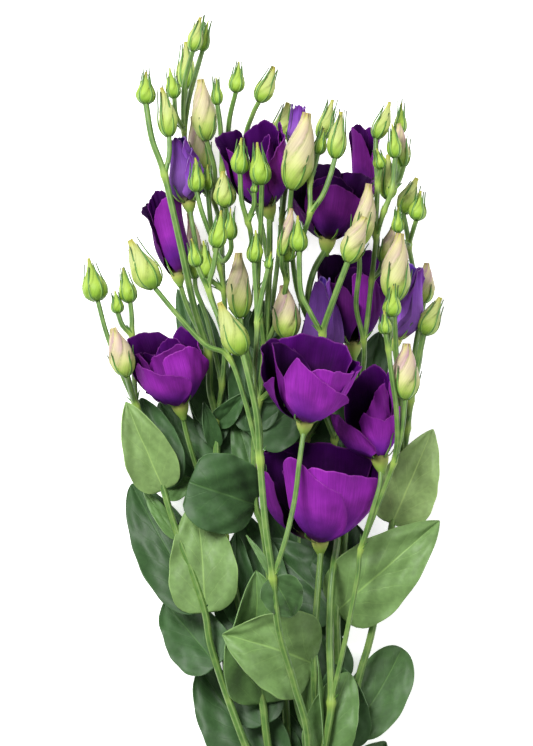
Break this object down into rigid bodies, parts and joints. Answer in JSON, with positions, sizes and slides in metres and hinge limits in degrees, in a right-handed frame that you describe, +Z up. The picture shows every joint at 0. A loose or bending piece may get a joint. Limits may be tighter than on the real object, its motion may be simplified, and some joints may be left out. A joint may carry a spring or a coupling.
{
  "type": "lisianthus bunch",
  "caption": "Cut bunch of purple lisianthus lying on its side, with leafy forked stems, closed buds, cup-shaped flowers and a rubber band.",
  "frame": {"origin": "middle of the bounding box's underside, on the surface that the bunch lies on", "axes": "+Y along the bunch from the cut ends to the flower heads, +X across it, +Z up from the surface"},
  "size_m": [0.233, 0.6358, 0.1443],
  "materials": {
    "stem_and_leaf": "waxy blue-green leaf and stem, semi-matte",
    "purple_petal": "velvety deep purple petal, matte",
    "violet_petal": "pale violet petal, matte",
    "band_rubber": "plain tan rubber, matte"
  },
  "bodies": {
    "root": {"rubber_band": "band_rubber", "stem_front": "stem_and_leaf", "stem_low": "stem_and_leaf", "stem_right_front": "stem_and_leaf", "stem_right": "stem_and_leaf", "stem_right_back": "stem_and_leaf", "stem_left": "stem_and_leaf", "stem_left_mid": "stem_and_leaf", "stem_mid_back": "stem_and_leaf", "stem_back": "stem_and_leaf", "bloom_centre": "purple_petal", "bloom_low": "purple_petal", "bloom_right": "purple_petal", "bloom_left": "purple_petal", "bloom_upper": "purple_petal", "bloom_mid": "purple_petal", "bloom_rolled_left": "purple_petal", "bloom_violet_left": "violet_petal", "bloom_violet_mid": "violet_petal", "bloom_deep": "purple_petal", "bloom_violet_right": "violet_petal", "bloom_top_right": "purple_petal", "bloom_violet_tip": "violet_petal"}
  },
  "joints": []
}
